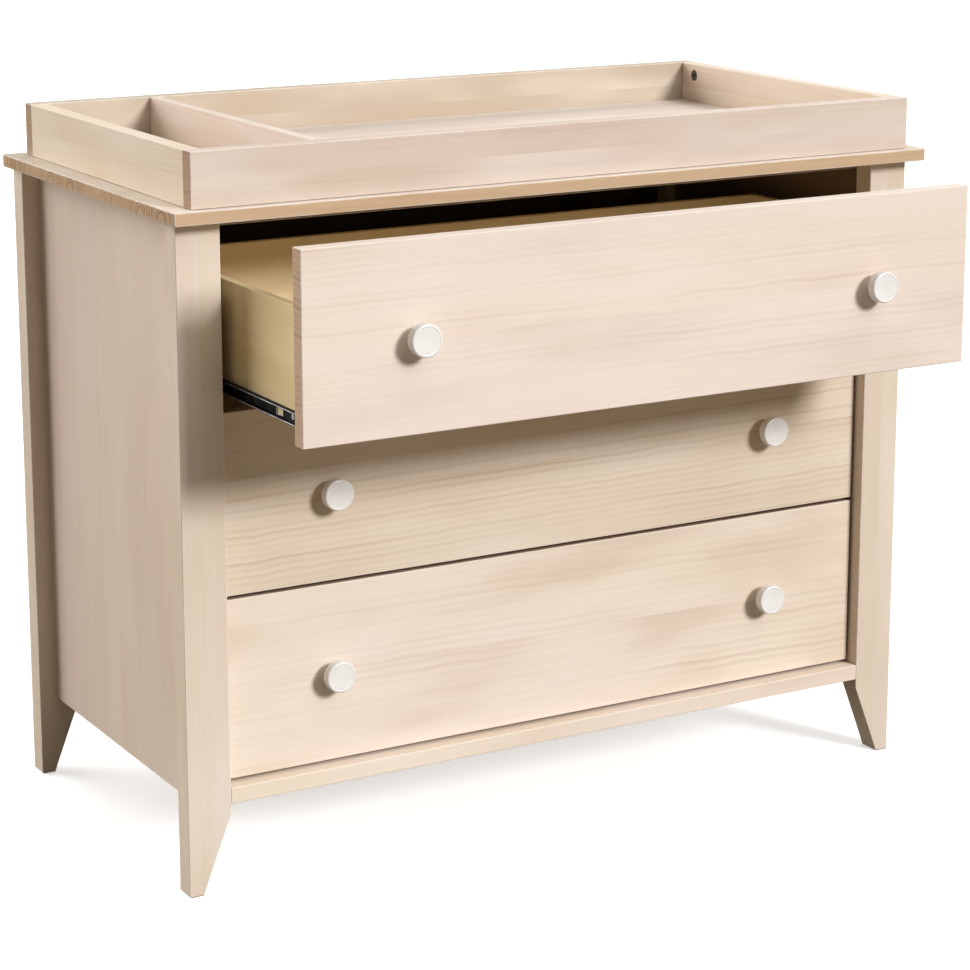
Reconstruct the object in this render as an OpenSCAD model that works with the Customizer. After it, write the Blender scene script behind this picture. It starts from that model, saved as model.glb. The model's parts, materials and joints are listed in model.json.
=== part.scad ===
// Three-drawer chest with a lift-off changing tray on its top.
// Millimetres. +Z is up, +X is to the right as seen from the front, and the drawers open along -Y.
// The origin is on the floor, under the middle of the whole piece with its upper drawer partly open.

/* [Top] */
// Width of the top board, the widest piece
top_width = 1040; // [940:5:1140]
// Front-to-back depth of the top board
top_depth = 535; // [515:5:600]
// Thickness of the top board
top_thick = 16; // [14:1:22]
// Height of the top board's upper face above the floor
chest_height = 814; // [780:2:900]

/* [Frame] */
// Width of a leg, seen from the front
leg_width = 55; // [48:1:70]
// Front-to-back thickness of a leg
leg_thick = 30; // [26:1:36]
// Width that a leg tapers to at the floor
foot_width = 18; // [14:1:30]
// Height above the floor where a leg's taper starts
taper_height = 95; // [60:5:100]
// How far the top stands out past the legs on each side
top_side_lip = 11; // [4:1:30]
// How far the top stands out in front of the front legs
top_front_lip = 26; // [10:1:40]
// How far the top stands out behind the back legs
top_back_lip = 6; // [0:1:15]
// Thickness of the side boards
side_thick = 16; // [14:1:20]
// How far a side board sits in from the legs' outer faces
side_inset = 22; // [10:1:24]
// Height of the side boards' lower edge
side_bottom = 102; // [90:1:110]
// Height of the front rail's underside
rail_bottom = 106; // [100:1:120]
// Thickness of the front rail, floor to ceiling
rail_thick = 20; // [18:1:24]

/* [Drawers] */
// Gap beside each drawer front
side_gap = 3; // [2:0.5:4]
// Gap above, below and between the drawer fronts
front_gap = 3.75; // [3:0.25:5]
// How far the drawer fronts sit back from the legs' front faces
front_setback = 18; // [10:1:24]
// Thickness of a drawer front
front_thick = 20; // [18:1:22]
// Height of a drawer box
box_height = 132; // [90:2:136]
// Thickness of a drawer box's sides and back
box_thick = 10; // [9:1:12]
// Outside length of a drawer box behind its front
box_length = 413; // [405:1:425]
// Length of the drawer runners
runner_length = 400; // [360:10:400]
// Full travel of a drawer
drawer_travel = 390; // [300:10:390]
// How far the upper drawer stands open at rest
rest_opening = 215; // [0:5:300]
// Distance of each knob from the middle of its drawer front
knob_spread = 311; // [200:1:380]
// Diameter of a knob
knob_width = 38; // [30:1:42]

/* [Tray] */
// Height of the tray's walls
tray_height = 65; // [50:1:90]
// Thickness of the tray's walls
tray_thick = 20; // [16:1:24]
// How far the tray's ends sit in from the ends of the top
tray_side_inset = 24; // [10:1:40]
// How far the tray's front sits back from the top's front edge
tray_front_inset = 9; // [4:1:16]
// How far the tray's back sits in from the top's back edge
tray_back_inset = 22; // [10:1:30]
// Clear length of the tray's pad bay, right of the divider
pad_bay = 800; // [700:1:830]
// Thickness of the divider
divider_thick = 12; // [9:1:15]

/* [Hidden] */
$fn = 40;

// Room left round every fastener in its hole
fit_gap = 0.05;
// Small amount by which a cutter passes a surface
past = 1;

// Knob: reach in front of the drawer front, and the radii of its rim and neck
knob_reach = 25;
knob_r = knob_width / 2;
neck_r = 9;
neck_length = 8;
rim_start = 15;
dish_depth = 1.5;

// Depth places, counted from the top's front edge and moved so that the origin is in the middle
reach_out = rest_opening - top_front_lip - front_setback + knob_reach;
back_y = (top_depth + reach_out) / 2;
front_y = back_y - top_depth;
leg_front_y = front_y + top_front_lip;
leg_rear_y = leg_front_y + leg_thick;
back_leg_rear_y = back_y - top_back_lip;
back_leg_front_y = back_leg_rear_y - leg_thick;
face_y = leg_front_y + front_setback;
box_front_y = face_y + front_thick;

// Width places, for the right-hand half
leg_outer_x = top_width / 2 - top_side_lip;
leg_inner_x = leg_outer_x - leg_width;
side_outer_x = leg_outer_x - side_inset;
side_inner_x = side_outer_x - side_thick;
front_half = leg_inner_x - side_gap;

// Size of the small cut round the bottom of a leg
foot_ease = 0.8;

// Heights
top_under_z = chest_height - top_thick;
rail_top_z = rail_bottom + rail_thick;
front_height = (top_under_z - rail_top_z - 4 * front_gap) / 3;
front_step = front_height + front_gap;
lower_z = rail_top_z + front_gap;
middle_z = lower_z + front_step;
upper_z = middle_z + front_step;

// Rails that are out of sight
top_rail_thick = 14;
top_rail_depth = 60;
back_rail_thick = 20;
back_rail_height = 50;
back_top_rail_height = 40;
back_rail_y = back_leg_front_y - 2;
back_panel_thick = 5;
back_panel_gap = 0.5;
back_panel_y = back_rail_y + back_rail_thick;
bottom_rail_depth = 60;

// Runners: three nested channels, counted outwards from the drawer box
runner_width = 12.7;
runner_metal = 1.2;
cabinet_runner_height = 27;
cabinet_runner_depth = 9.5;
carriage_height = 19.6;
carriage_depth = 7.6;
carriage_gap = 1.4;
carriage_setback = 92;
carriage_end_gap = 5;
carriage_length = runner_length - carriage_setback - carriage_end_gap;
drawer_runner_height = 14.5;
drawer_runner_depth = 7.2;
drawer_runner_gap = 1;
box_half = leg_inner_x - runner_width;
box_lift = 19;
runner_lift = box_lift + 8.5;
runner_start_y = box_front_y + 4;
cleat_height = 40;

// Access windows in a drawer's channels: distances from the box's front, length and height
runner_window_y = [46, 276];
runner_window_length = 16;
runner_window_height = 9;

// Screws that hold the runners: distances from the runner's and the box's front ends
runner_screw_y = [30, 180, 350];
runner_screw_reach = 14;
runner_head_r = 3.5;
runner_head_t = 0.8;
drawer_runner_screw_y = [20, 200, 370];
drawer_runner_screw_reach = 8.5;
drawer_runner_head_r = 3.2;

// Drawer bottom, let into grooves
bottom_lift = 10;
bottom_thick = 5;
groove_depth = 5;
groove_gap = 0.1;

// Cam fittings: radius of the cam, of its bolt, and how far each reaches
cam_r = 7.5;
cam_back = 30;
cam_bolt_r = 3;
cam_bolt_reach = 11;
small_cam_r = 6;
small_cam_back = 24;
small_bolt_r = 2.5;
cam_clear = 0.5;
cam_socket_depth = 2.5;
cam_bolt_gap = 0.4;
dowel_r = 4;
dowel_length = 30;

// Screws: shaft radii and the sizes of their heads
screw_r = 2;
small_screw_r = 1.5;
top_head_r = 4;
knob_head_r = 4.5;
head_t = 2.2;
small_head_r = 3.2;
small_head_t = 1.6;

// How far a screw's hole runs on past its point
hole_extra = 1;

// Cams and screws along a drawer box's corners, as shares of the box's height
corner_up = [0.3, 0.78];
back_corner_reach = 13;
knob_screw_reach = 12;

// Heights of the dowels and rail joints in the frame
dowel_inset = 60;
dowel_step = (top_under_z - side_bottom - 2 * dowel_inset) / 3;
dowel_z = [for (i = [0 : 3]) side_bottom + dowel_inset + i * dowel_step];
back_bottom_joint_z = side_bottom + back_rail_height / 2;
back_top_joint_z = top_under_z - back_top_rail_height / 2;

// Screws up through the top rails into the top board, as [y, height of the head]
top_screw_x = [-300, 0, 300];
top_screw_reach = 9;
top_rail_y = box_front_y + 2;
front_screw_y = top_rail_y + top_rail_depth / 2;
back_screw_y = back_rail_y + back_rail_thick / 2;
top_screw_rows = [
    [front_screw_y, top_under_z - top_rail_thick],
    [back_screw_y, top_under_z - back_top_rail_height]
];

// Screws through the back panel and the anti-tip bracket
back_screw_x = [-380, -130, 130, 380];
back_screw_inset = 14;
back_screw_z = [side_bottom + back_screw_inset, top_under_z - back_screw_inset];
back_screw_reach = 11;
bracket_screw_x = [-18, 18];
bracket_z = top_under_z - 27;
bracket_half = 30;
bracket_metal = 2;
bracket_rise = 9;
bracket_drop = 12;
bracket_tab_half = 11;
bracket_tab_reach = 13;
strap_hole_r = 2.6;
strap_hole_y = 7.5;

// Tray places
tray_lift = 0.5;
tray_z = chest_height + tray_lift;
tray_top_z = tray_z + tray_height;
tray_half = top_width / 2 - tray_side_inset;
tray_front_y = front_y + tray_front_inset;
tray_back_y = back_y - tray_back_inset;
tray_floor_lift = 3;
tray_floor_thick = 10;
tray_tongue_thick = 5;
tray_slot_depth = 6;
divider_groove_depth = 2;
tray_floor_z = tray_z + tray_floor_lift + tray_floor_thick;
divider_dowel_z = (tray_floor_z + tray_top_z) / 2;
divider_x = tray_half - tray_thick - pad_bay - divider_thick;
tray_cam_drop = 16;
tray_cam_z = tray_top_z - tray_cam_drop;
divider_dowel_r = 3;
divider_dowel_half = 9;

pine = [0.92, 0.86, 0.80];
raw_ply = [0.92, 0.80, 0.62];
dark_steel = [0.12, 0.12, 0.13];
bright_steel = [0.75, 0.76, 0.78];
white = [0.97, 0.96, 0.94];

// ---- Shared shapes ----

// A board between two corners
module board(low, high) {
    translate(low)
        cube(high - low);
}

module both_sides() {
    children();
    mirror([1, 0, 0])
        children();
}

// A round bar or hole along X, Y or Z from a start point
module along_x(start, r, length) {
    translate(start)
        rotate([0, 90, 0])
            cylinder(r = r, h = length);
}

module along_y(start, r, length) {
    translate(start)
        rotate([-90, 0, 0])
            cylinder(r = r, h = length);
}

module along_z(start, r, length) {
    translate(start)
        cylinder(r = r, h = length);
}

// A cam and its bolt. The bolt runs along X into the piece beyond x = 0, and the cam's
// mouth is on the face at z = face, which the cam is flush with.
module cam_fitting(face, r, back, bolt_r, reach) {
    depth = face + bolt_r + cam_clear;
    difference() {
        along_z([-back, 0, face - depth], r, depth);
        along_z([-back, 0, face - cam_socket_depth], r / 3, cam_socket_depth + past, $fn = 6);
        along_x([-back, 0, 0], bolt_r + cam_bolt_gap, r + past);
    }
    along_x([-back + 1, 0, 0], bolt_r, back + reach - 1);
}

// The holes that a cam fitting needs: the cam's pocket and the bolt's run up to x = 0
module cam_pocket(face, r, back, bolt_r) {
    depth = face + bolt_r + cam_clear;
    along_z([-back, 0, face - depth - fit_gap], r + fit_gap, depth + fit_gap + past);
    along_x([-back, 0, 0], bolt_r + fit_gap, back + past);
}

// The hole for the bolt's end, in the piece beyond x = 0
module cam_bolt_hole(bolt_r, reach) {
    along_x([-past, 0, 0], bolt_r + fit_gap, reach + past + fit_gap);
}

// ---- Where the fittings go; each module places its children ----

// Ends of the four rails, with x = 0 on the piece that the rail meets
module at_front_bottom_rail_ends() {
    both_sides()
        translate([leg_inner_x, leg_front_y + leg_thick / 2, rail_bottom + rail_thick / 2])
            rotate([180, 0, 0])
                children();
}

module at_front_top_rail_ends() {
    both_sides()
        translate([side_inner_x, top_rail_y + top_rail_depth / 2, top_under_z - top_rail_thick / 2])
            rotate([180, 0, 0])
                children();
}

module at_back_rail_ends(z) {
    both_sides()
        translate([leg_inner_x, back_rail_y + back_rail_thick / 2, z])
            rotate([90, 0, 0])
                children();
}

// Dowels that join the right-hand side board to its two legs
module side_dowels(extra_r = 0, extra_length = 0) {
    for (z = dowel_z)
        for (y = [leg_rear_y, back_leg_front_y])
            along_y(
                [side_outer_x - side_thick / 2, y - dowel_length / 2 - extra_length, z],
                dowel_r + extra_r,
                dowel_length + 2 * extra_length
            );
}

module top_screw_holes() {
    for (x = top_screw_x)
        for (row = top_screw_rows)
            along_z(
                [x, row[0], row[1] - past],
                screw_r + fit_gap,
                top_under_z + top_screw_reach + hole_extra - row[1] + past
            );
}

module back_screw_holes() {
    depth = back_screw_reach + hole_extra;
    for (x = back_screw_x)
        for (z = back_screw_z)
            along_y(
                [x, back_panel_y - depth, z],
                small_screw_r + fit_gap,
                depth + back_panel_thick + past
            );
    for (x = bracket_screw_x)
        along_y(
            [x, back_panel_y - depth, bracket_z],
            small_screw_r + fit_gap,
            depth + back_panel_thick + bracket_metal + past
        );
}

// ---- Frame ----

// A leg's outline, outer edge at x = 0 and inner edge towards +X
module leg_outline() {
    polygon([
        [foot_ease, 0],
        [foot_width - foot_ease, 0],
        [foot_width, foot_ease],
        [leg_width, taper_height],
        [leg_width, top_under_z],
        [0, top_under_z],
        [0, foot_ease]
    ]);
}

// The right-hand leg whose front face is at y
module right_leg(y) {
    translate([leg_outer_x, y, 0])
        rotate([90, 0, 180])
            linear_extrude(leg_thick)
                leg_outline();
}

module right_front_leg() {
    difference() {
        right_leg(leg_front_y);
        side_dowels(fit_gap, fit_gap);
        at_front_bottom_rail_ends()
            cam_bolt_hole(cam_bolt_r, cam_bolt_reach);
    }
}

module right_back_leg() {
    difference() {
        right_leg(back_leg_front_y);
        side_dowels(fit_gap, fit_gap);
        for (z = [back_bottom_joint_z, back_top_joint_z])
            at_back_rail_ends(z)
                cam_bolt_hole(cam_bolt_r, cam_bolt_reach);
    }
}

module right_side() {
    difference() {
        board(
            [side_inner_x, leg_rear_y, side_bottom],
            [side_outer_x, back_leg_front_y, top_under_z]
        );
        side_dowels(fit_gap, fit_gap);
        at_front_top_rail_ends()
            cam_bolt_hole(cam_bolt_r, cam_bolt_reach);
    }
}

module top_panel() {
    color(pine)
        difference() {
            board([-top_width / 2, front_y, top_under_z], [top_width / 2, back_y, chest_height]);
            top_screw_holes();
        }
}

module front_right_leg() {
    color(pine)
        right_front_leg();
}

module front_left_leg() {
    color(pine)
        mirror([1, 0, 0])
            right_front_leg();
}

module back_right_leg() {
    color(pine)
        right_back_leg();
}

module back_left_leg() {
    color(pine)
        mirror([1, 0, 0])
            right_back_leg();
}

module right_side_panel() {
    color(pine)
        right_side();
}

module left_side_panel() {
    color(pine)
        mirror([1, 0, 0])
            right_side();
}

module back_panel() {
    color(raw_ply)
        difference() {
            board(
                [-leg_inner_x + back_panel_gap, back_panel_y, side_bottom],
                [
                    leg_inner_x - back_panel_gap,
                    back_panel_y + back_panel_thick,
                    top_under_z - 2 * back_panel_gap
                ]
            );
            back_screw_holes();
        }
}

module front_bottom_rail() {
    color(pine)
        difference() {
            board(
                [-leg_inner_x, leg_front_y, rail_bottom],
                [leg_inner_x, leg_front_y + bottom_rail_depth, rail_top_z]
            );
            at_front_bottom_rail_ends()
                cam_pocket(rail_thick / 2, cam_r, cam_back, cam_bolt_r);
        }
}

module front_top_rail() {
    color(pine)
        difference() {
            board(
                [-side_inner_x, top_rail_y, top_under_z - top_rail_thick],
                [side_inner_x, top_rail_y + top_rail_depth, top_under_z]
            );
            at_front_top_rail_ends()
                cam_pocket(top_rail_thick / 2, cam_r, cam_back, cam_bolt_r);
            top_screw_holes();
        }
}

module back_bottom_rail() {
    color(pine)
        difference() {
            board(
                [-leg_inner_x, back_rail_y, side_bottom],
                [leg_inner_x, back_panel_y, side_bottom + back_rail_height]
            );
            at_back_rail_ends(back_bottom_joint_z)
                cam_pocket(back_rail_thick / 2, cam_r, cam_back, cam_bolt_r);
            back_screw_holes();
        }
}

module back_top_rail() {
    color(pine)
        difference() {
            board(
                [-leg_inner_x, back_rail_y, top_under_z - back_top_rail_height],
                [leg_inner_x, back_panel_y, top_under_z]
            );
            at_back_rail_ends(back_top_joint_z)
                cam_pocket(back_rail_thick / 2, cam_r, cam_back, cam_bolt_r);
            back_screw_holes();
            top_screw_holes();
        }
}

// ---- Runners ----

// A channel that opens towards -X, with its web's outer face at x
module channel(x, depth, height, y, length, z) {
    difference() {
        board([x - depth, y, z - height / 2], [x, y + length, z + height / 2]);
        board(
            [x - depth - past, y - past, z - height / 2 + runner_metal],
            [x - runner_metal, y + length + past, z + height / 2 - runner_metal]
        );
    }
}

// The height of a drawer's runners, from the height of its front
function runner_z(z) = z + runner_lift;

module runner_screw_bores(z) {
    start_x = leg_inner_x - runner_metal;
    for (y = runner_screw_y)
        along_x(
            [start_x - past, runner_start_y + y, runner_z(z)],
            screw_r + fit_gap,
            runner_screw_reach + hole_extra + past
        );
}

module runner_cleats() {
    color(pine)
        both_sides()
            for (z = [lower_z, middle_z, upper_z])
                difference() {
                    board(
                        [leg_inner_x, leg_rear_y, runner_z(z) - cleat_height / 2],
                        [side_inner_x, back_leg_front_y, runner_z(z) + cleat_height / 2]
                    );
                    runner_screw_bores(z);
                }
}

module cabinet_runners(z) {
    color(dark_steel)
        both_sides()
            difference() {
                channel(
                    leg_inner_x, cabinet_runner_depth, cabinet_runner_height,
                    runner_start_y, runner_length, runner_z(z)
                );
                runner_screw_bores(z);
            }
}

module runner_screws() {
    color(bright_steel)
        both_sides()
            for (z = [lower_z, middle_z, upper_z])
                for (y = runner_screw_y)
                    translate([leg_inner_x - runner_metal, runner_start_y + y, runner_z(z)]) {
                        along_x([0, 0, 0], screw_r, runner_screw_reach);
                        along_x([-runner_head_t, 0, 0], runner_head_r, runner_head_t);
                    }
}

// The middle channel of each runner
module runner_carriages(z, opening) {
    color(dark_steel)
        both_sides()
            channel(
                leg_inner_x - runner_metal - carriage_gap, carriage_depth, carriage_height,
                runner_start_y + carriage_setback - opening / 2, carriage_length, runner_z(z)
            );
}

// The channel on the drawer box, which opens outwards and has access windows in its web
module drawer_runners(z, opening) {
    start_y = box_front_y + drawer_runner_gap - opening;
    half = drawer_runner_height / 2;
    color(dark_steel)
        both_sides()
            difference() {
                board(
                    [box_half, start_y, runner_z(z) - half],
                    [box_half + drawer_runner_depth, start_y + runner_length, runner_z(z) + half]
                );
                board(
                    [box_half + runner_metal, start_y - past, runner_z(z) - half + runner_metal],
                    [
                        box_half + drawer_runner_depth + past,
                        start_y + runner_length + past,
                        runner_z(z) + half - runner_metal
                    ]
                );
                drawer_runner_windows(z, opening);
                drawer_runner_screw_bores(z, opening);
            }
}

module drawer_runner_windows(z, opening) {
    half = runner_window_height / 2;
    for (y = runner_window_y)
        board(
            [box_half - past, box_front_y + y - opening, runner_z(z) - half],
            [
                box_half + runner_metal + past,
                box_front_y + y + runner_window_length - opening,
                runner_z(z) + half
            ]
        );
}

module drawer_runner_screw_bores(z, opening) {
    for (y = drawer_runner_screw_y)
        along_x(
            [
                box_half + runner_metal - drawer_runner_screw_reach - hole_extra / 2,
                box_front_y + y - opening,
                runner_z(z)
            ],
            small_screw_r + fit_gap,
            drawer_runner_screw_reach + hole_extra / 2 + past
        );
}

// ---- Drawers: z is the front's lower edge and opening is how far the drawer is out ----

module at_drawer_cams(z, opening) {
    both_sides()
        for (up = corner_up)
            translate([box_half - box_thick / 2, box_front_y - opening, z + box_lift + up * box_height])
                rotate([90, 0, -90])
                    children();
}

module drawer_back_screw_bores(z, opening) {
    depth = back_corner_reach + hole_extra;
    for (up = corner_up)
        along_x(
            [
                box_half - box_thick - depth,
                box_front_y + box_length - box_thick / 2 - opening,
                z + box_lift + up * box_height
            ],
            small_screw_r + fit_gap,
            depth + box_thick + past
        );
}

module drawer_front(z, opening) {
    color(pine)
        difference() {
            board(
                [-front_half, face_y - opening, z],
                [front_half, box_front_y - opening, z + front_height]
            );
            both_sides()
                along_y(
                    [knob_spread, face_y - past - opening, z + front_height / 2],
                    screw_r + fit_gap, front_thick + 2 * past
                );
            at_drawer_cams(z, opening)
                cam_bolt_hole(small_bolt_r, cam_bolt_reach);
        }
}

module right_drawer_side(z, opening) {
    difference() {
        board(
            [box_half - box_thick, box_front_y - opening, z + box_lift],
            [box_half, box_front_y + box_length - opening, z + box_lift + box_height]
        );
        board(
            [
                box_half - box_thick - past,
                box_front_y - past - opening,
                z + box_lift + bottom_lift - groove_gap
            ],
            [
                box_half - box_thick + groove_depth,
                box_front_y + box_length - box_thick - opening,
                z + box_lift + bottom_lift + bottom_thick + groove_gap
            ]
        );
        at_drawer_cams(z, opening)
            cam_pocket(box_thick / 2, small_cam_r, small_cam_back, small_bolt_r);
        drawer_back_screw_bores(z, opening);
        drawer_runner_screw_bores(z, opening);
    }
}

module drawer_right_side(z, opening) {
    color(raw_ply)
        right_drawer_side(z, opening);
}

module drawer_left_side(z, opening) {
    color(raw_ply)
        mirror([1, 0, 0])
            right_drawer_side(z, opening);
}

module drawer_back(z, opening) {
    color(raw_ply)
        difference() {
            board(
                [-box_half + box_thick, box_front_y + box_length - box_thick - opening, z + box_lift],
                [box_half - box_thick, box_front_y + box_length - opening, z + box_lift + box_height]
            );
            both_sides()
                drawer_back_screw_bores(z, opening);
        }
}

module drawer_bottom(z, opening) {
    reach = box_half - box_thick + groove_depth - groove_gap;
    color(raw_ply)
        board(
            [-reach, box_front_y + groove_gap - opening, z + box_lift + bottom_lift],
            [
                reach,
                box_front_y + box_length - box_thick - groove_gap - opening,
                z + box_lift + bottom_lift + bottom_thick
            ]
        );
}

// Half outline of a knob: radius against distance in front of the drawer front
module knob_outline() {
    polygon([
        [screw_r + fit_gap, 0],
        [neck_r + 1, 0],
        [neck_r, 2],
        [neck_r, neck_length],
        [neck_r + 2, neck_length + 3],
        [knob_r - 2, rim_start - 2],
        [knob_r, rim_start],
        [knob_r, knob_reach - 2.5],
        [knob_r - 0.8, knob_reach - 0.7],
        [knob_r - 2.5, knob_reach],
        [knob_r - 5, knob_reach - 0.8],
        [knob_r - 8, knob_reach - dish_depth],
        [0, knob_reach - dish_depth],
        [0, knob_screw_reach + hole_extra],
        [screw_r + fit_gap, knob_screw_reach + hole_extra]
    ]);
}

module drawer_knobs(z, opening) {
    color(white)
        both_sides()
            translate([knob_spread, face_y - opening, z + front_height / 2])
                rotate([90, 0, 0])
                    rotate_extrude($fn = 64)
                        knob_outline();
}

module knob_screws(z, opening) {
    color(bright_steel)
        both_sides()
            translate([knob_spread, box_front_y - opening, z + front_height / 2]) {
                along_y(
                    [0, -front_thick - knob_screw_reach, 0],
                    screw_r,
                    front_thick + knob_screw_reach
                );
                along_y([0, 0, 0], knob_head_r, head_t);
            }
}

module drawer_fixings(z, opening) {
    color(bright_steel) {
        at_drawer_cams(z, opening)
            cam_fitting(box_thick / 2, small_cam_r, small_cam_back, small_bolt_r, cam_bolt_reach);
        both_sides() {
            for (up = corner_up)
                along_x(
                    [
                        box_half - box_thick - back_corner_reach,
                        box_front_y + box_length - box_thick / 2 - opening,
                        z + box_lift + up * box_height
                    ],
                    small_screw_r,
                    back_corner_reach + box_thick
                );
            for (y = drawer_runner_screw_y)
                translate([box_half + runner_metal, box_front_y + y - opening, runner_z(z)]) {
                    along_x(
                        [-drawer_runner_screw_reach, 0, 0],
                        small_screw_r,
                        drawer_runner_screw_reach
                    );
                    along_x([0, 0, 0], drawer_runner_head_r, runner_head_t);
                }
        }
    }
}

// ---- Frame fasteners ----

module frame_cam_fittings() {
    color(bright_steel) {
        at_front_bottom_rail_ends()
            cam_fitting(rail_thick / 2, cam_r, cam_back, cam_bolt_r, cam_bolt_reach);
        at_front_top_rail_ends()
            cam_fitting(top_rail_thick / 2, cam_r, cam_back, cam_bolt_r, cam_bolt_reach);
        for (z = [back_bottom_joint_z, back_top_joint_z])
            at_back_rail_ends(z)
                cam_fitting(back_rail_thick / 2, cam_r, cam_back, cam_bolt_r, cam_bolt_reach);
    }
}

module frame_dowels() {
    color(raw_ply)
        both_sides()
            side_dowels();
}

module top_screws() {
    color(bright_steel)
        for (x = top_screw_x)
            for (row = top_screw_rows) {
                along_z([x, row[0], row[1]], screw_r, top_under_z + top_screw_reach - row[1]);
                along_z([x, row[0], row[1] - head_t], top_head_r, head_t);
            }
}

module back_screws() {
    start_y = back_panel_y - back_screw_reach;
    face_of_back = back_panel_y + back_panel_thick;
    color(bright_steel) {
        for (x = back_screw_x)
            for (z = back_screw_z) {
                along_y([x, start_y, z], small_screw_r, back_screw_reach + back_panel_thick);
                along_y([x, face_of_back, z], small_head_r, small_head_t);
            }
        for (x = bracket_screw_x) {
            along_y(
                [x, start_y, bracket_z],
                small_screw_r,
                back_screw_reach + back_panel_thick + bracket_metal
            );
            along_y([x, face_of_back + bracket_metal, bracket_z], small_head_r, small_head_t);
        }
    }
}

// An angle of steel on the back, with a hole in its tab for a wall strap
module anti_tip_bracket() {
    plate_y = back_panel_y + back_panel_thick;
    foot_z = bracket_z - bracket_drop;
    color(bright_steel)
        difference() {
            union() {
                board(
                    [-bracket_half, plate_y, foot_z],
                    [bracket_half, plate_y + bracket_metal, bracket_z + bracket_rise]
                );
                board(
                    [-bracket_tab_half, plate_y, foot_z],
                    [bracket_tab_half, plate_y + bracket_tab_reach, foot_z + bracket_metal]
                );
            }
            back_screw_holes();
            along_z(
                [0, plate_y + strap_hole_y, foot_z - past],
                strap_hole_r,
                bracket_metal + 2 * past
            );
        }
}

// ---- Tray ----

// The four corner fittings, with x = 0 on the inner face of the tray's front or back
module at_tray_cams() {
    both_sides() {
        translate([tray_half - tray_thick / 2, tray_back_y - tray_thick, tray_cam_z])
            rotate([-90, 0, 90])
                children();
        translate([tray_half - tray_thick / 2, tray_front_y + tray_thick, tray_cam_z])
            rotate([90, 0, -90])
                children();
    }
}

module tray_floor_slot() {
    board(
        [
            -tray_half + tray_thick - tray_slot_depth,
            tray_front_y + tray_thick - tray_slot_depth,
            tray_z + tray_floor_lift - groove_gap
        ],
        [
            tray_half - tray_thick + tray_slot_depth,
            tray_back_y - tray_thick + tray_slot_depth,
            tray_z + tray_floor_lift + tray_tongue_thick + groove_gap
        ]
    );
}

module divider_dowels(extra_r = 0, extra_length = 0) {
    for (y = [tray_front_y + tray_thick, tray_back_y - tray_thick])
        along_y(
            [divider_x + divider_thick / 2, y - divider_dowel_half - extra_length, divider_dowel_z],
            divider_dowel_r + extra_r,
            2 * (divider_dowel_half + extra_length)
        );
}

module tray_front() {
    color(pine)
        difference() {
            board(
                [-tray_half, tray_front_y, tray_z],
                [tray_half, tray_front_y + tray_thick, tray_top_z]
            );
            tray_floor_slot();
            at_tray_cams()
                cam_bolt_hole(cam_bolt_r, cam_bolt_reach);
            divider_dowels(fit_gap, fit_gap);
        }
}

module tray_back() {
    color(pine)
        difference() {
            board(
                [-tray_half, tray_back_y - tray_thick, tray_z],
                [tray_half, tray_back_y, tray_top_z]
            );
            tray_floor_slot();
            at_tray_cams()
                cam_bolt_hole(cam_bolt_r, cam_bolt_reach);
            divider_dowels(fit_gap, fit_gap);
        }
}

module right_tray_side() {
    difference() {
        board(
            [tray_half - tray_thick, tray_front_y + tray_thick, tray_z],
            [tray_half, tray_back_y - tray_thick, tray_top_z]
        );
        tray_floor_slot();
        at_tray_cams()
            cam_pocket(tray_thick / 2, cam_r, cam_back, cam_bolt_r);
    }
}

module tray_right_side() {
    color(pine)
        right_tray_side();
}

module tray_left_side() {
    color(pine)
        mirror([1, 0, 0])
            right_tray_side();
}

module tray_divider() {
    color(pine)
        difference() {
            board(
                [divider_x, tray_front_y + tray_thick, tray_floor_z - divider_groove_depth],
                [divider_x + divider_thick, tray_back_y - tray_thick, tray_top_z]
            );
            divider_dowels(fit_gap, fit_gap);
        }
}

// The floor's edges are cut down to a tongue, and the divider stands in a groove across it
module tray_floor() {
    tongue_inset = tray_thick - tray_slot_depth + groove_gap;
    board_inset = tray_thick + groove_gap;
    color(pine)
        difference() {
            union() {
                board(
                    [-tray_half + tongue_inset, tray_front_y + tongue_inset, tray_z + tray_floor_lift],
                    [
                        tray_half - tongue_inset,
                        tray_back_y - tongue_inset,
                        tray_z + tray_floor_lift + tray_tongue_thick
                    ]
                );
                board(
                    [-tray_half + board_inset, tray_front_y + board_inset, tray_z + tray_floor_lift],
                    [tray_half - board_inset, tray_back_y - board_inset, tray_floor_z]
                );
            }
            board(
                [
                    divider_x - groove_gap,
                    tray_front_y,
                    tray_floor_z - divider_groove_depth
                ],
                [divider_x + divider_thick + groove_gap, tray_back_y, tray_floor_z + past]
            );
        }
}

module tray_fixings() {
    color(dark_steel)
        at_tray_cams()
            cam_fitting(tray_thick / 2, cam_r, cam_back, cam_bolt_r, cam_bolt_reach);
    color(raw_ply)
        divider_dowels();
}

// ---- The nodes ----

top_panel();
front_left_leg();
front_right_leg();
back_left_leg();
back_right_leg();
left_side_panel();
right_side_panel();
back_panel();
front_bottom_rail();
back_bottom_rail();
front_top_rail();
back_top_rail();
runner_cleats();
cabinet_runners(upper_z);  // upper_cabinet_runners
cabinet_runners(middle_z);  // middle_cabinet_runners
cabinet_runners(lower_z);  // lower_cabinet_runners
frame_cam_fittings();
frame_dowels();
top_screws();
back_screws();
runner_screws();
anti_tip_bracket();
tray_front();
tray_back();
tray_left_side();
tray_right_side();
tray_divider();
tray_floor();
tray_fixings();

// Each drawer's nodes, as [name, height of its front's lower edge, opening at rest]
drawers = [
    ["upper", upper_z, rest_opening],
    ["middle", middle_z, 0],
    ["lower", lower_z, 0]
];

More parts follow.
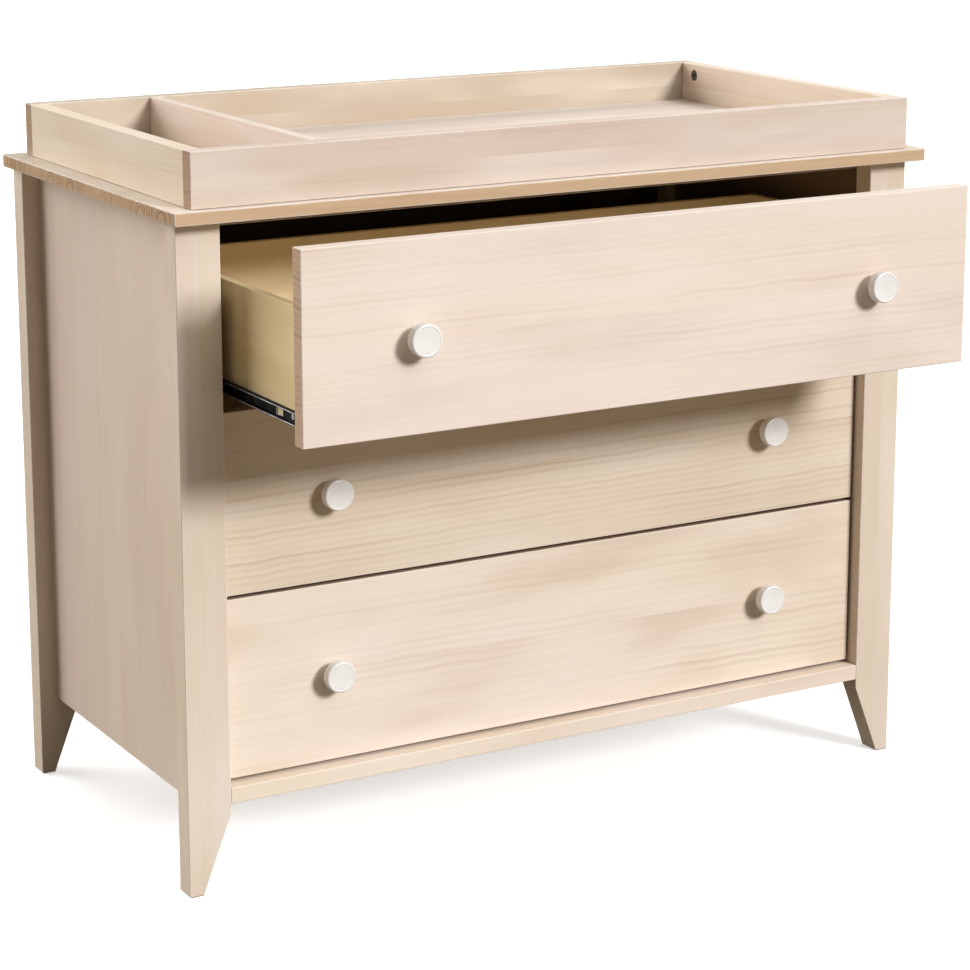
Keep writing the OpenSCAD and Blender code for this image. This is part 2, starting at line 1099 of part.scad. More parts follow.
for (d = drawers) {
    drawer_front(d[1], d[2]);
    drawer_left_side(d[1], d[2]);
    drawer_right_side(d[1], d[2]);
    drawer_back(d[1], d[2]);
    drawer_bottom(d[1], d[2]);
    drawer_knobs(d[1], d[2]);
    knob_screws(d[1], d[2]);
    drawer_runners(d[1], d[2]);
    drawer_fixings(d[1], d[2]);
    runner_carriages(d[1], d[2]);
}
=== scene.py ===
# A three-drawer changing table: washed pine, pale ply, black and zinc steel, white lacquer.
import json
import math
import random

import bmesh
import bpy
from mathutils import Euler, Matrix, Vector

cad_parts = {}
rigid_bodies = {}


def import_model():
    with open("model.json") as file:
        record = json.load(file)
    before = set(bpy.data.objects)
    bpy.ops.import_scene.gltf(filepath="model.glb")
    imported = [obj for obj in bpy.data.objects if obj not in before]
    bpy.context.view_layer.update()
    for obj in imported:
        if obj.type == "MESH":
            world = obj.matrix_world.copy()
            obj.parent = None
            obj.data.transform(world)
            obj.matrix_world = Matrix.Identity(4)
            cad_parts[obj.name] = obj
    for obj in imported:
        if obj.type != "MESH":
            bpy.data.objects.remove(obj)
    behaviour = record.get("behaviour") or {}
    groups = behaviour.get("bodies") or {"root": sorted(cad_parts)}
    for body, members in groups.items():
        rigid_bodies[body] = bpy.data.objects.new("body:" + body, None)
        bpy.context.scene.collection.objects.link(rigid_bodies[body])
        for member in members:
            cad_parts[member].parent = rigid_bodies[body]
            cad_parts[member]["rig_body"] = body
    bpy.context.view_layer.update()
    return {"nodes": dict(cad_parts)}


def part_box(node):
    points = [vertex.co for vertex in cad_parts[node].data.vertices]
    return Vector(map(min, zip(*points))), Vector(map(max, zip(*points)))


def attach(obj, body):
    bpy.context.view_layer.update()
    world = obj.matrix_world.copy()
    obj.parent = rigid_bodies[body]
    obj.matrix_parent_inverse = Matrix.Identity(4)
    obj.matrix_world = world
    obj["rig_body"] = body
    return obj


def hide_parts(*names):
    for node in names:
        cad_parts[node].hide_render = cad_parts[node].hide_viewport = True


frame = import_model()

MM = 0.001
nodes = frame["nodes"]
DRAWERS = ("upper", "middle", "lower")


# ---- Small helpers for node trees ----


def srgb(red, green, blue):
    """A colour given as it looks on a screen, 0 to 255, as linear light."""

    def linear(value):
        value = value / 255
        return value / 12.92 if value <= 0.04045 else ((value + 0.055) / 1.055) ** 2.4

    return (linear(red), linear(green), linear(blue), 1.0)


class Tree:
    """A material's node tree, with one short call per node."""

    def __init__(self, name):
        self.material = bpy.data.materials.new(name)
        self.material.use_nodes = True
        self.tree = self.material.node_tree
        self.tree.nodes.clear()
        self.shader = self.add("BsdfPrincipled")
        output = self.add("OutputMaterial")
        self.link(self.shader.outputs["BSDF"], output.inputs["Surface"])

    def link(self, source, target):
        self.tree.links.new(source, target)

    def add(self, kind, inputs=None, **settings):
        made = self.tree.nodes.new("ShaderNode" + kind)
        for key, value in settings.items():
            setattr(made, key, value)
        for key, value in (inputs or {}).items():
            if isinstance(value, bpy.types.NodeSocket):
                self.link(value, made.inputs[key])
            else:
                made.inputs[key].default_value = value
        return made

    def math(self, operation, first, second=0.0, third=0.0):
        return self.add("Math", {0: first, 1: second, 2: third}, operation=operation).outputs[0]

    def weighted(self, base, *parts):
        """The base plus each part times its weight."""
        total = base
        for part, weight in parts:
            total = self.math("MULTIPLY_ADD", part, weight, total)
        return total

    def noise(self, vector, scale=1.0, detail=2.0, rough=0.5):
        """Soft noise. Most of it lies between 0.3 and 0.7, so that is where it is stepped from."""
        inputs = {"Vector": vector, "Scale": scale, "Detail": detail, "Roughness": rough}
        return self.add("TexNoise", inputs).outputs[0]

    def stretch(self, vector, factors):
        made = self.add("VectorMath", {0: vector, 1: factors}, operation="MULTIPLY")
        return made.outputs[0]

    def ranged(self, value, low, high, new_low=0.0, new_high=1.0):
        """The value's smooth step from low to high, as a step from new_low to new_high."""
        spans = {"From Min": low, "From Max": high, "To Min": new_low, "To Max": new_high}
        return self.add(
            "MapRange", {"Value": value, **spans}, interpolation_type="SMOOTHSTEP"
        ).outputs[0]

    def mix(self, share, first, second, blend="MIX"):
        made = self.add("Mix", data_type="RGBA", blend_type=blend)
        for socket, value in ((0, share), (6, first), (7, second)):
            if isinstance(value, bpy.types.NodeSocket):
                self.link(value, made.inputs[socket])
            else:
                made.inputs[socket].default_value = value
        return made.outputs[2]

    def surface(self, **sockets):
        """Sets the shader's sockets: base_color is its Base Color, and so on."""
        for key, value in sockets.items():
            socket = self.shader.inputs[key.replace("_", " ").title().replace("Ior", "IOR")]
            if isinstance(value, bpy.types.NodeSocket):
                self.link(value, socket)
            else:
                socket.default_value = value

    def bump(self, height, depth, strength):
        made = self.add("Bump", {"Height": height, "Distance": depth, "Strength": strength})
        self.link(made.outputs[0], self.shader.inputs["Normal"])


# ---- Wood ----

# How often each kind of mark repeats in a metre: along the grain, across the board and through it
BENDS = (2.2, 3.5, 3.5)
WAVES = (13, 20, 20)
FADES = (2.2, 9, 9)
PATCHES = (3.5, 13, 13)
WARMTH = (0.9, 5, 5)
FIBRES = (7, 420, 420)
PORES = (55, 1500, 1500)
WEAR_AND_HIGHLIGHT_SPOTS = (35, 60, 60)

# A face starts to count as facing an axis at the first cosine, and does so fully at the second
FACING = (0.6, 0.9)

# Staves lie this far apart along the trunk at most, and boards this far from the trunk's origin
STAVE_SHIFT = 3.0
TRUNK_REACH = 9.0

# A board's pith line may lean by this slope, and lie this far to the side of its usual place
PITH_LEAN = 0.02
PITH_DRIFT = 0.02

# Within a ring, 0 to 1, the late wood darkens over the first span. It ends over the second, which
# is given backwards, as the step falls
LATE_GROWS = (0.15, 0.80)
LATE_ENDS = (1.0, 0.82)

# The strength of the weakest ring, and of all rings where they fade out along the board
WEAKEST_RING = 0.2
FADED_RINGS = 0.25

# How strongly a pore shows, and how pale an eased edge is painted, from least to most: partly wear and
# partly painted highlight
PORE_SHARE = 0.10
WEAR_AND_HIGHLIGHT_RANGE = (0.35, 0.9)

# What fibres, late wood and end grain add to the roughness of wood
FIBRE_ROUGH = 0.16
LATE_ROUGH = -0.05
END_ROUGH = 0.12

# The depth of wood's relief, and how far late wood, fibres and pores move it
RELIEF = 0.12 * MM
LATE_RELIEF = -0.35
FIBRE_RELIEF = 0.5
PORE_RELIEF = -0.4


def board_axes(low, high):
    """The board's axes as (grain, width, thickness): its longest, middle and shortest."""
    size = high - low
    return sorted(range(3), key=lambda axis: -size[axis])


def stave_place(tree, point, low, high, look, chance):
    """Distances along, across and through a point's stave, and the stave's own value, -0.5 to 0.5."""
    centre = (low + high) / 2
    split = tree.add("SeparateXYZ", {0: point})
    along, across, through = (
        tree.math("SUBTRACT", split.outputs[axis], centre[axis]) for axis in board_axes(low, high)
    )
    # A wide board is glued up from staves, each cut from its own place in a trunk
    stave = tree.math("FLOOR", tree.math("DIVIDE", across, look["stave"]))
    stave_middle = tree.math("MULTIPLY_ADD", stave, look["stave"], look["stave"] / 2)
    across = tree.math("SUBTRACT", across, stave_middle)
    seed = tree.math("ADD", stave, chance.uniform(3, 90))
    own = tree.add("TexWhiteNoise", {"W": seed}, noise_dimensions="1D").outputs["Value"]
    return along, across, through, tree.math("SUBTRACT", own, 0.5)


def trunk_place(tree, place, chance):
    """The same point in the trunk that the board was cut from, as one vector."""
    along, across, through, own = place
    along = tree.math("MULTIPLY_ADD", own, STAVE_SHIFT, along)
    joined = tree.add("CombineXYZ", {0: along, 1: across, 2: through}).outputs[0]
    cut = [chance.uniform(-TRUNK_REACH, TRUNK_REACH) for _ in range(3)]
    return tree.add("VectorMath", {0: joined, 1: cut}, operation="ADD").outputs[0]


def ring_lines(tree, at, place, look, chance):
    """The dark late wood of the growth rings, 0 to 1, round a pith line that bends a little."""
    along, across, through, own = place
    bend = tree.noise(tree.stretch(at, BENDS), detail=2.0)
    sway = tree.noise(tree.stretch(at, WAVES), detail=2.0)
    lean = chance.uniform(-PITH_LEAN, PITH_LEAN)
    pith_across = look["pith_across"] + chance.uniform(-PITH_DRIFT, PITH_DRIFT)
    bend = tree.math("SUBTRACT", bend, 0.5)
    side = tree.math("SUBTRACT", across, pith_across)
    side = tree.weighted(side, (own, look["stave_spread"]), (along, lean))
    rise = tree.math("ADD", through, look["pith_depth"])
    rise = tree.weighted(rise, (along, look["rise"]), (bend, look["bend"]))
    squares = tree.math("MULTIPLY_ADD", side, side, tree.math("MULTIPLY", rise, rise))
    radius = tree.weighted(tree.math("SQRT", squares), (sway, look["sway"]))
    turns = tree.math("DIVIDE", radius, look["ring"])

    # Each ring darkens slowly and ends sharply, with a strength of its own
    phase = tree.math("FRACT", turns)
    late = tree.math("MULTIPLY", tree.ranged(phase, *LATE_GROWS), tree.ranged(phase, *LATE_ENDS))
    each = tree.add("TexWhiteNoise", {"W": tree.math("FLOOR", turns)}, noise_dimensions="1D")
    late = tree.math("MULTIPLY", late, tree.ranged(each.outputs["Value"], 0.0, 1.0, WEAKEST_RING))
    fade = tree.noise(tree.stretch(at, FADES), detail=1.0)
    return tree.math("MULTIPLY", late, tree.ranged(fade, 0.35, 0.62, FADED_RINGS))


def grain_colour(tree, at, late, fibre, pores, end, look):
    """The washed wood's colour: two tones, patches, rings, fibres, the white wash and pores."""
    patch = tree.noise(tree.stretch(at, PATCHES), detail=2.0)
    warmth = tree.noise(tree.stretch(at, WARMTH), detail=1.0)
    colour = tree.mix(tree.ranged(warmth, 0.35, 0.65), look["rosy"], look["honey"])
    colour = tree.mix(tree.ranged(patch, 0.3, 0.5, look["patches"], 0.0), colour, look["late"])
    shows = tree.math("MULTIPLY_ADD", end, look["end_rings"], look["contrast"])
    colour = tree.mix(tree.math("MULTIPLY", late, shows), colour, look["late"])
    end_late = tree.math("MULTIPLY", tree.math("MULTIPLY", late, end), look["end_rings"])
    colour = tree.mix(end_late, colour, look["end_late"])
    fibre = tree.math("MULTIPLY", tree.ranged(fibre, 0.35, 0.75), look["fibre"])
    colour = tree.mix(fibre, colour, look["late"])
    wash = tree.math("MULTIPLY", tree.ranged(patch, 0.4, 0.75), look["wash"])
    colour = tree.mix(wash, colour, look["white"])
    return tree.mix(tree.math("MULTIPLY", pores, PORE_SHARE), colour, look["pore"])


def wood(name, low, high, look, seed):
    """Solid wood for one board, seen from all its sides: a look says how it is cut and coloured."""
    tree = Tree(name)
    chance = random.Random(seed)
    grain, width, _ = board_axes(low, high)
    texture = tree.add("TexCoord")
    normal = tree.add("SeparateXYZ", {0: texture.outputs["Normal"]}).outputs
    place = stave_place(tree, texture.outputs["Object"], low, high, look, chance)
    at = trunk_place(tree, place, chance)
    late = ring_lines(tree, at, place, look, chance)
    fibre = tree.noise(tree.stretch(at, FIBRES), detail=3.0, rough=0.6)
    pores = tree.ranged(tree.noise(tree.stretch(at, PORES), detail=1.0), 0.62, 0.78)
    end = tree.ranged(tree.math("ABSOLUTE", normal[grain]), *FACING)
    colour = grain_colour(tree, at, late, fibre, pores, end, look)

    # End grain drinks more of the finish. The look's edge share darkens the long narrow edges too; on
    # the two lower drawer fronts that darkening is painted shade for the dark gaps between the fronts
    edge = tree.ranged(tree.math("ABSOLUTE", normal[width]), *FACING)
    end = tree.weighted(end, (edge, look["edge"]))
    colour = tree.mix(tree.math("MULTIPLY", end, look["end"]), colour, look["end_tone"], "MULTIPLY")

    # The faces that look into the chest are darkened where the look says so: painted shade for the dark
    # inside of the chest
    inside_axis = look["inside_axis"]
    to_middle = -math.copysign(1.0, (low + high)[inside_axis])
    inward = tree.ranged(tree.math("MULTIPLY", normal[inside_axis], to_middle), *FACING)
    inward = tree.math("MULTIPLY", inward, look["inside"])
    colour = tree.mix(inward, colour, look["bare"], "MULTIPLY")

    # The eased edges are painted paler in patches: partly wear from handling, partly painted highlight
    # along the rounded edges
    arris = tree.add("Attribute", attribute_name="arris").outputs["Fac"]
    rub = tree.noise(tree.stretch(at, WEAR_AND_HIGHLIGHT_SPOTS), detail=2.0)
    wear_and_highlight_mask = tree.math("MULTIPLY", arris, tree.ranged(rub, 0.25, 0.65, *WEAR_AND_HIGHLIGHT_RANGE))
    colour = tree.mix(tree.math("MULTIPLY", wear_and_highlight_mask, look["rub"]), colour, look["white"])

    rough = tree.weighted(look["rough"], (fibre, FIBRE_ROUGH), (late, LATE_ROUGH), (end, END_ROUGH))
    tree.surface(base_color=colour, roughness=rough, specular_ior_level=0.2)
    height = tree.weighted(0.0, (late, LATE_RELIEF), (fibre, FIBRE_RELIEF), (pores, PORE_RELIEF))
    tree.bump(height, RELIEF, 0.6)
    return tree.material


# A look says how a kind of board is cut and coloured. Its tones are:
#   rosy and honey    the two tones that the washed wood drifts between
#   late, end_late    the dark lines of the rings, on the long faces and on end grain
#   white, pore       the wash on the surface and the pale eased edges (partly wear, partly painted highlight), and the short dark pores
#   end_tone, bare    what end grain and inward faces multiply the colour by; on inward faces this is painted shade
# Its shares, 0 to 1:
#   contrast, end_rings, fibre, patches, wash, rub    how strongly each kind of mark shows
#   end, edge, inside    how much of the end tone is on end grain and edges, and of the painted inside shade on inward faces
#   rough    the roughness between the rings
# Its shape is the ring's width, the pith line's place beside and behind the board, the line's
# slope and bends, the rings' sway, and the width of a glued stave and the spread of their piths.
PINE = {
    "rosy": srgb(226, 209, 198),
    "honey": srgb(227, 211, 193),
    "late": srgb(192, 166, 142),
    "white": srgb(236, 227, 218),
    "pore": srgb(168, 138, 112),
    "end_tone": srgb(222, 200, 178),
    "end_late": srgb(150, 120, 96),
    "bare": srgb(150, 136, 118),
    "inside": 0.0,
    "inside_axis": 0,
    "contrast": 0.38,
    "fibre": 0.10,
    "wash": 0.4,
    "end": 0.8,
    "end_rings": 0.35,
    "edge": 0.0,
    "stave": 1.0,
    "stave_spread": 0.0,
    "patches": 0.16,
    "rub": 0.6,
    "rough": 0.52,
    "ring": 8 * MM,
    "pith_across": 0.0,
    "pith_depth": 55 * MM,
    "rise": 0.02,
    "bend": 60 * MM,
    "sway": 9 * MM,
}

# Boards cut further from the middle of the trunk show close, straight lines
STRAIGHT = dict(
    PINE,
    pith_across=300 * MM,
    pith_depth=40 * MM,
    ring=4 * MM,
    contrast=0.34,
    bend=18 * MM,
    sway=3 * MM,
)
LEG = dict(
    STRAIGHT,
    pith_across=140 * MM,
    contrast=0.14,
    patches=0.08,
    rosy=srgb(217, 201, 185),
    honey=srgb(218, 203, 184),
)
# The side panels' faces to the inside are darker: painted shade for the dark inside of the chest
SIDE = dict(
    STRAIGHT,
    rosy=srgb(216, 198, 186),
    honey=srgb(218, 201, 185),
    patches=0.05,
    wash=0.2,
    inside=1.0,
)

TRAY_FRONT = dict(
    PINE,
    rosy=srgb(209, 191, 178),
    honey=srgb(208, 192, 174),
    contrast=0.25,
    end_tone=srgb(190, 160, 132),
)
TRAY_SIDE = dict(
    PINE,
    rosy=srgb(225, 208, 192),
    honey=srgb(227, 209, 185),
    contrast=0.25,
    ring=6 * MM,
)
TRAY_BACK = dict(PINE, rosy=srgb(186, 171, 157), honey=srgb(188, 173, 153), contrast=0.25)
TRAY_FLOOR = dict(PINE, rosy=srgb(229, 216, 206), honey=srgb(230, 218, 204), contrast=0.3)
DIVIDER = dict(TRAY_FLOOR, rosy=srgb(226, 212, 202), honey=srgb(226, 212, 200))

# The drawer boxes are pale, unwashed plywood with wide, faint figure
PLY = dict(
    STRAIGHT,
    rosy=srgb(222, 200, 152),
    honey=srgb(228, 207, 160),
    late=srgb(222, 190, 138),
    white=srgb(250, 236, 204),
    pore=srgb(196, 160, 110),
    contrast=0.45,
    ring=17 * MM,
    sway=12 * MM,
    rough=0.55,
)
# The box's bottom and back are lighter copies of the ply: painted light for the brightly lit inside of
# the open drawer
LIT_BOX_BOTTOM = dict(PLY, rosy=srgb(252, 236, 196), honey=srgb(253, 238, 200), contrast=0.3)
LIT_BOX_BACK = dict(PLY, rosy=srgb(232, 208, 166), honey=srgb(236, 214, 174), contrast=0.3)

# The back is browner board; its face to the inside is darker still, painted shade for the dark inside
# of the chest
HARDBOARD = dict(
    PLY,
    rosy=srgb(178, 156, 128),
    honey=srgb(184, 162, 134),
    late=srgb(158, 134, 106),
    white=srgb(196, 176, 148),
    contrast=0.2,
    bare=srgb(128, 120, 112),
    inside=1.0,
    inside_axis=1,
)

RAIL = dict(PINE, rosy=srgb(234, 218, 203), honey=srgb(235, 220, 201))

# Top rails and cleats, deep in the chest, are darker: painted shade for the dark inside of the chest
SHADED_RAIL = dict(PINE, rosy=srgb(150, 132, 116), honey=srgb(154, 136, 118), contrast=0.3)


# ---- Metal, lacquer and floor ----

# How often the draw lines of steel repeat in a metre along X, Y and Z
DRAW_LINES = (40, 900, 900)


def steel(name, tone, edge, rough, metal=1.0):
    """Plated or painted steel with fine draw lines, faint blotches and bright edges: partly worn metal,
    partly painted highlight for the reflections along rolled edges.
    """
    tree = Tree(name)
    at = tree.add("TexCoord").outputs["Object"]
    lines = tree.noise(tree.stretch(at, DRAW_LINES), detail=2.0)
    blotch = tree.noise(at, scale=55.0, detail=3.0)
    arris = tree.add("Attribute", attribute_name="arris").outputs["Fac"]
    wear_and_highlight_mask = tree.math("MULTIPLY", arris, tree.ranged(blotch, 0.2, 0.6, 0.5, 1.0))
    brightest = 0.3 if metal else 0.03
    colour = tree.mix(tree.ranged(blotch, 0.35, 0.7, 0.0, brightest), tone, edge)
    colour = tree.mix(wear_and_highlight_mask, colour, edge)
    # Paint has metal only on the bright edges, partly worn through and partly painted highlight, and
    # hardly shines elsewhere
    tree.surface(
        base_color=colour,
        roughness=tree.math("MULTIPLY_ADD", lines, 0.18, rough),
        metallic=metal or wear_and_highlight_mask,
        specular_ior_level=0.5 if metal else 0.08,
    )
    tree.bump(lines, 0.02 * MM, 0.4)
    return tree.material


def lacquer(name):
    """White lacquer with a faint orange-peel surface."""
    tree = Tree(name)
    at = tree.add("TexCoord").outputs["Object"]
    peel = tree.noise(at, scale=420.0, detail=2.0)
    cloud = tree.noise(at, scale=60.0, detail=2.0)
    colour = tree.mix(tree.ranged(cloud, 0.3, 0.7), srgb(232, 230, 227), srgb(236, 234, 232))
    tree.surface(
        base_color=colour,
        roughness=tree.ranged(cloud, 0.3, 0.7, 0.26, 0.34),
        specular_ior_level=0.5,
        coat_weight=0.25,
        coat_roughness=0.15,
    )
    tree.bump(peel, 0.03 * MM, 0.35)
    return tree.material


def pale_floor(name):
    """A floor that is pale and a little lit from within, but throws back only a dim, warm light."""
    tree = Tree(name)
    at = tree.add("TexCoord").outputs["Object"]
    cloud = tree.noise(at, scale=1.3, detail=3.0)
    colour = tree.mix(tree.ranged(cloud, 0.3, 0.7), srgb(245, 245, 244), srgb(248, 248, 247))
    seen = tree.add("LightPath").outputs["Is Camera Ray"]
    tree.surface(
        base_color=tree.mix(seen, srgb(132, 121, 106), colour),
        roughness=0.8,
        specular_ior_level=0.1,
        emission_strength=tree.math("MULTIPLY", seen, 0.5),
        emission_color=(1, 1, 1, 1),
    )
    return tree.material


# Each metal's name is also its slot's
METALS = {
    "black_steel": steel("black_steel", srgb(5, 5, 6), srgb(196, 202, 210), 0.45, 0.0),
    "zinc_steel": steel("zinc_steel", srgb(178, 182, 186), srgb(226, 228, 230), 0.30),
    "dark_cam": steel("dark_cam", srgb(66, 64, 63), srgb(150, 150, 150), 0.36),
}
WHITE = lacquer("white_lacquer")


# ---- Boards and metalwork: the CAD shapes with rounded edges ----

# Corners sharper than this stay crisp, and convex edges sharper than the next one are rounded
CRISP_ANGLE = math.radians(38)
ROUNDED_ANGLE = math.radians(50)

# A board's shorter edges belong to its holes and slots, and stay as they are
LONG_EDGE = 14 * MM

# Points this near are one point, and faces this near to level are one face
SAME_POINT = 0.001 * MM
SAME_FACE = math.radians(0.5)


def put(name, data):
    """A new object in the scene."""
    made = bpy.data.objects.new(name, data)
    bpy.context.scene.collection.objects.link(made)
    return made


def finished(bm, name):
    """The bmesh as a mesh with smooth faces and crisp corners."""
    for edge in bm.edges:
        edge.smooth = len(edge.link_faces) == 2 and edge.calc_face_angle(0) < CRISP_ANGLE
    mesh = bpy.data.meshes.new(name)
    bm.to_mesh(mesh)
    bm.free()
    for polygon in mesh.polygons:
        polygon.use_smooth = True
    return mesh


def eased(node, radius, shortest, segments=3):
    """The CAD node's own shape with its long edges rounded, and the rounds marked as arris."""
    source = nodes[node]
    bm = bmesh.new()
    bm.from_mesh(source.data)
    bmesh.ops.remove_doubles(bm, verts=bm.verts, dist=SAME_POINT)
    bmesh.ops.dissolve_limit(bm, angle_limit=SAME_FACE, verts=bm.verts, edges=bm.edges)
    long_edges = [
        edge
        for edge in bm.edges
        if len(edge.link_faces) == 2
        and edge.is_convex
        and edge.calc_length() > shortest
        and edge.calc_face_angle(0) > ROUNDED_ANGLE
    ]
    arris = bm.faces.layers.float.new("arris")
    rounds = bmesh.ops.bevel(
        bm,
        geom=long_edges,
        offset=radius,
        offset_type="OFFSET",
        segments=segments,
        profile=0.5,
        affect="EDGES",
        clamp_overlap=False,
    )
    for face in rounds["faces"]:
        face[arris] = 1.0
    piece = put(node + "_eased", finished(bm, node + "_eased"))
    # Shading follows the large faces, so that flat boards look flat
    weighted = piece.modifiers.new("normals", "WEIGHTED_NORMAL")
    weighted.mode = "FACE_AREA"
    weighted.keep_sharp = True
    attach(piece, source["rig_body"])
    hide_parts(node)
    return piece


def board(node, look, seed, radius=1.2 * MM):
    """A wooden piece with its edges eased by hand."""
    piece = eased(node, radius, LONG_EDGE)
    piece.data.materials.append(wood(node + "_wood", *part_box(node), look, seed))


def runner(node):
    """A pair of pressed runner channels, with the sheet's edges a little rounded."""
    piece = eased(node, radius=0.35 * MM, shortest=5 * MM, segments=2)
    piece.data.materials.append(METALS["black_steel"])


def paint_cad(node, material):
    """Keeps the CAD node itself and gives it its finish."""
    nodes[node].data.materials.clear()
    nodes[node].data.materials.append(material)


def arc(middle, radius, start, stop, steps):
    """Points of an arc from one angle to another, in degrees, both ends included."""
    turns = [math.radians(start + (stop - start) * step / steps) for step in range(steps + 1)]
    return [
        (middle[0] + radius * math.cos(turn), middle[1] + radius * math.sin(turn)) for turn in turns
    ]


def knob_outline(radius, reach):
    """Points of a knob's half outline, as (distance from the axis, distance from the drawer front)."""
    neck = 8 * MM
    neck_length = 6 * MM
    back = 12.5 * MM
    back_rim = 3 * MM
    rim = 2.2 * MM
    dish = 0.9 * MM
    # The foot flares out where it meets the drawer front
    foot = ((1.2 * MM, 0), (0.4 * MM, 0.8 * MM), (0, 2 * MM))
    points = [(0, 0)] + [(neck + flare, height) for flare, height in foot] + [(neck, neck_length)]
    # A hollow curve opens from the neck to the back of the cap
    steps = 8
    for step in range(1, steps + 1):
        turn = math.radians(90 * step / steps)
        out = neck + (radius - back_rim - neck) * (1 - math.cos(turn))
        points.append((out, neck_length + (back - neck_length) * math.sin(turn)))
    points += arc((radius - rim, back + rim), rim, -90, 0, 8)
    points += arc((radius - rim, reach - rim), rim, 0, 120, 12)
    # The face sinks from the rim to a shallow dish
    edge = points[-1]
    dish_steps = 15
    for step in range(1, dish_steps):
        share = 1 - step / dish_steps
        sink = (1 + math.cos(math.pi * share)) / 2
        points.append((edge[0] * share, edge[1] - (edge[1] - reach + dish) * sink))
    points.append((0, reach - dish))
    return points


def turned_knobs(drawer):
    """The two white knobs of a drawer, turned in place of the CAD ones."""
    node = f"{drawer}_drawer_knobs"
    low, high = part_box(node)
    radius = (high.z - low.z) / 2
    outline = knob_outline(radius, high.y - low.y)
    sides = 96
    turns = [math.tau * side / sides for side in range(sides)]
    bm = bmesh.new()
    for middle in (low.x + radius, high.x - radius):
        rings = []
        for out, forward in outline:
            ring = [
                (middle + out * math.cos(turn), high.y - forward, low.z + radius + out * math.sin(turn))
                for turn in (turns if out else turns[:1])
            ]
            rings.append([bm.verts.new(point) for point in ring])
        for first, second in zip(rings, rings[1:]):
            for side in range(sides):
                corners = [
                    first[side % len(first)],
                    first[(side + 1) % len(first)],
                    second[(side + 1) % len(second)],
                    second[side % len(second)],
                ]
                # At the axis two corners are one, and the face is a triangle
                bm.faces.new(list(dict.fromkeys(corners)))
    bmesh.ops.recalc_face_normals(bm, faces=bm.faces)
    piece = put(f"{drawer}_turned_knobs", finished(bm, f"{drawer}_turned_knobs"))
    piece.data.materials.append(WHITE)
    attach(piece, f"{drawer}_drawer")
    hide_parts(node)


# ---- The chest, the tray and the drawers ----

# The top is glued from staves cut near the pith, so its ends show small arcs
TOP = dict(
    PINE,
    rosy=srgb(231, 218, 205),
    honey=srgb(232, 220, 204),
    ring=4.5 * MM,
    sway=6 * MM,
    pith_depth=17 * MM,
    stave=92 * MM,
    stave_spread=110 * MM,
    edge=0.9,
    end=1.0,
    end_tone=srgb(212, 188, 158),
    end_late=srgb(140, 106, 78),
    end_rings=0.9,
    contrast=0.22,
    bend=20 * MM,
)
board("top_panel", TOP, "top", radius=1.8 * MM)
for side in ("left", "right"):
    board(f"front_{side}_leg", LEG, f"front {side} leg", radius=1.5 * MM)
    board(f"back_{side}_leg", LEG, f"back {side} leg", radius=1.5 * MM)
    board(f"{side}_side_panel", SIDE, f"{side} side", radius=0.6 * MM)
    board(f"tray_{side}_side", TRAY_SIDE, f"tray {side}")
for rail in ("front_bottom_rail", "back_bottom_rail"):
    board(rail, RAIL, rail)
for rail in ("front_top_rail", "back_top_rail"):
    board(rail, SHADED_RAIL, rail)
board("runner_cleats", SHADED_RAIL, "cleats", radius=0.8 * MM)
board("back_panel", HARDBOARD, "back", radius=0.4 * MM)
board("tray_front", TRAY_FRONT, "tray front")
board("tray_back", TRAY_BACK, "tray back")
board("tray_divider", DIVIDER, "tray_divider")
board("tray_floor", TRAY_FLOOR, "tray_floor")

# The two lower fronts are browner on their ends and narrow edges: end grain on the ends, and painted
# shade for the dark gaps between the fronts on the narrow top and bottom edges
END_GRAIN_AND_GAP_SHADE = {"edge": 0.9, "end": 1.0, "end_tone": srgb(156, 130, 106)}
FRONTS = {
    "upper": dict(
        PINE,
        contrast=0.24,
        rosy=srgb(231, 215, 204),
        honey=srgb(233, 217, 201),
        end_tone=srgb(206, 182, 158),
    ),
    "middle": dict(
        PINE,
        contrast=0.5,
        pith_across=45 * MM,
        pith_depth=35 * MM,
        rosy=srgb(225, 207, 189),
        honey=srgb(226, 210, 190),
        **END_GRAIN_AND_GAP_SHADE,
    ),
    "lower": dict(
        PINE,
        contrast=0.4,
        pith_depth=35 * MM,
        ring=10 * MM,
        bend=80 * MM,
        patches=0.3,
        rosy=srgb(233, 218, 204),
        honey=srgb(233, 218, 199),
        **END_GRAIN_AND_GAP_SHADE,
    ),
}
BOX_LOOKS = {"left_side": PLY, "right_side": PLY, "bottom": LIT_BOX_BOTTOM, "back": LIT_BOX_BACK}
for drawer in DRAWERS:
    board(f"{drawer}_drawer_front", FRONTS[drawer], f"{drawer} front", radius=1.6 * MM)
    for part, look in BOX_LOOKS.items():
        board(f"{drawer}_drawer_{part}", look, f"{drawer} {part}", radius=0.8 * MM)
    for channel in ("drawer_runners", "runner_carriages", "cabinet_runners"):
        runner(f"{drawer}_{channel}")
    for metalwork in ("knob_screws", "drawer_fixings"):
        paint_cad(f"{drawer}_{metalwork}", METALS["zinc_steel"])
    turned_knobs(drawer)

for part in ("frame_cam_fittings", "top_screws", "back_screws", "runner_screws", "anti_tip_bracket"):
    paint_cad(part, METALS["zinc_steel"])
paint_cad("frame_dowels", wood("dowel_wood", *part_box("frame_dowels"), PLY, "dowels"))
paint_cad("tray_fixings", METALS["dark_cam"])


# ---- Floor, lights and camera ----

FLOOR_SIZE = 40.0

bm = bmesh.new()
bmesh.ops.create_grid(bm, x_segments=4, y_segments=4, size=FLOOR_SIZE / 2)
floor_mesh = bpy.data.meshes.new("floor")
bm.to_mesh(floor_mesh)
bm.free()
floor_mesh.materials.append(pale_floor("floor"))
put("floor", floor_mesh)


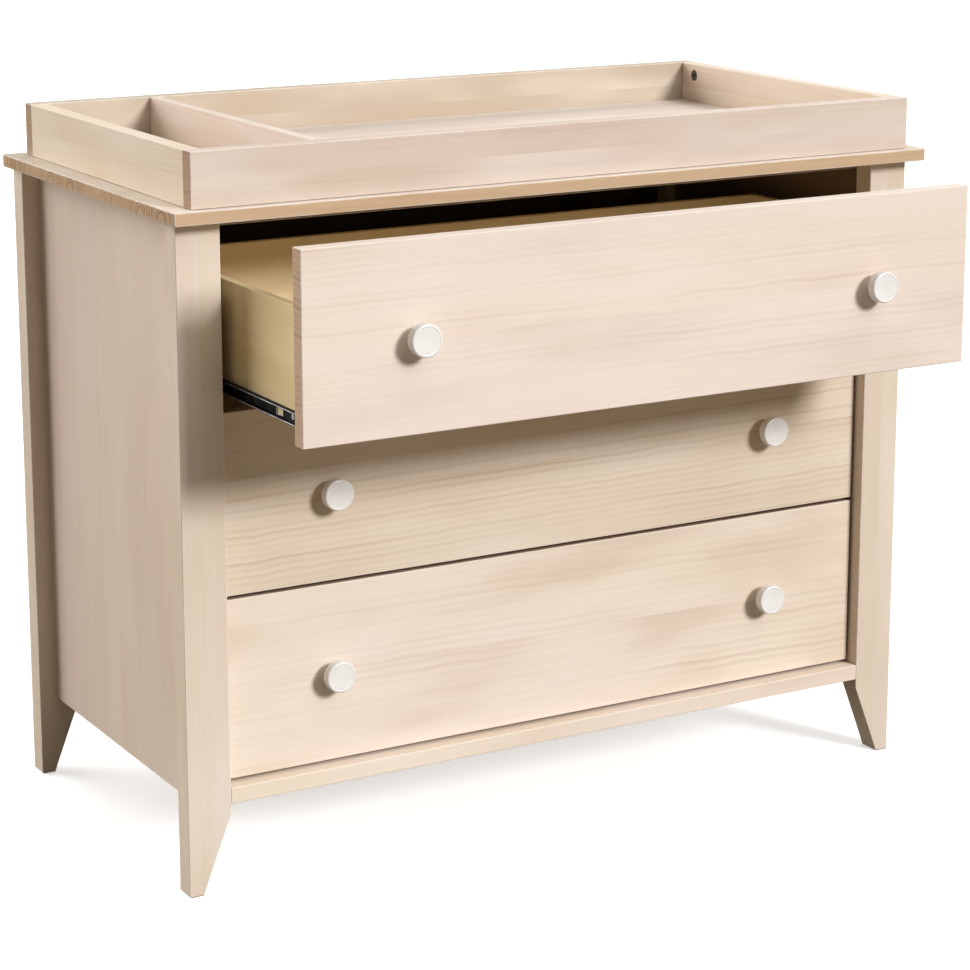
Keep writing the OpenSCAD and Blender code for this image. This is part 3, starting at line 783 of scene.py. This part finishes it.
def sun(name, towards_light, strength, softness, colour=(1, 1, 1)):
    """A soft far light that shines from the given direction. Softness is its width in degrees."""
    light = bpy.data.lights.new(name, "SUN")
    light.energy = strength
    light.angle = math.radians(softness)
    light.color = colour
    put(name, light).rotation_euler = Vector(towards_light).to_track_quat("Z", "Y").to_euler()


sun("key_light", (0.37, -1.0, 0.52), 2.8, 14)
sun("top_light", (0.3, -0.75, 1.0), 0.8, 45)
sun("side_light", (-1.0, 1.5, 0.6), 3.9, 55, (1.0, 0.98, 0.94))
sun("rim_light", (1.0, 0.9, 0.5), 1.0, 40)


def studio(camera_light, fill_light, fill_strength):
    """A world that the camera sees in one light, and that lights the scene dimly with another."""
    world = bpy.data.worlds.new("studio")
    world.use_nodes = True
    tree = world.node_tree
    tree.nodes.clear()
    backdrop = tree.nodes.new("ShaderNodeBackground")
    backdrop.inputs["Color"].default_value = camera_light
    fill = tree.nodes.new("ShaderNodeBackground")
    fill.inputs["Color"].default_value = fill_light
    fill.inputs["Strength"].default_value = fill_strength
    seen = tree.nodes.new("ShaderNodeLightPath")
    either = tree.nodes.new("ShaderNodeMixShader")
    output = tree.nodes.new("ShaderNodeOutputWorld")
    tree.links.new(seen.outputs["Is Camera Ray"], either.inputs[0])
    tree.links.new(fill.outputs[0], either.inputs[1])
    tree.links.new(backdrop.outputs[0], either.inputs[2])
    tree.links.new(either.outputs[0], output.inputs[0])
    return world


bpy.context.scene.world = studio((1, 1, 1, 1), (1.0, 0.95, 0.86, 1), 0.13)
bpy.context.scene.view_settings.view_transform = "Standard"

# The camera stands in front of the chest's left end, above its rim. Its turn to the right and its
# dip are in degrees
CAMERA_PLACE = (-1.743, -2.988, 1.313)
CAMERA_TURN = 29.82
CAMERA_DIP = 12.43

lens = bpy.data.cameras.new("camera")
lens.sensor_width = 36
lens.lens = 104.6
lens.shift_y = -0.12
camera = put("camera", lens)
camera.location = CAMERA_PLACE
camera.rotation_euler = Euler((math.radians(90 - CAMERA_DIP), 0, math.radians(-CAMERA_TURN)))
bpy.context.scene.camera = camera
